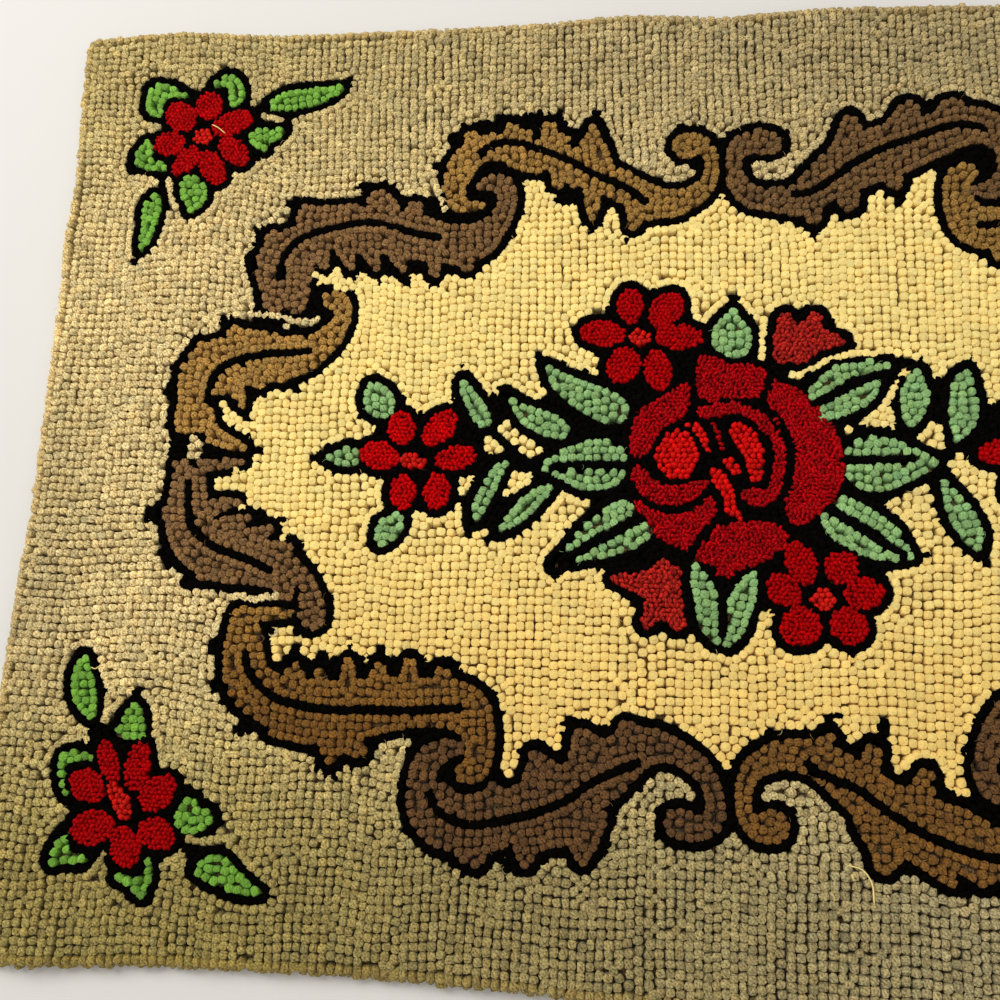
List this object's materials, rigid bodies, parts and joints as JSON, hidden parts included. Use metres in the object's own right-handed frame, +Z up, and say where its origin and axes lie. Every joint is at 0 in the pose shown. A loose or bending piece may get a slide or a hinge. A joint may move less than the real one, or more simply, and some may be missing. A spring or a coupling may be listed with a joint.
{
  "type": "hooked rug",
  "caption": "Rectangular hooked rug lying flat: looped yarn pile on burlap, with a rose bouquet in a scroll frame and corner sprays.",
  "frame": {"origin": "on the floor under the middle of the rug", "axes": "+X along the rug's length, +Y across it, +Z up from the floor"},
  "size_m": [0.887, 0.6163, 0.0131],
  "materials": {
    "burlap": "plain woven jute, matt",
    "yarn": "looped yarn pile, matt"
  },
  "bodies": {
    "root": {"foundation": "burlap", "hooked_pile": "yarn"}
  },
  "joints": []
}
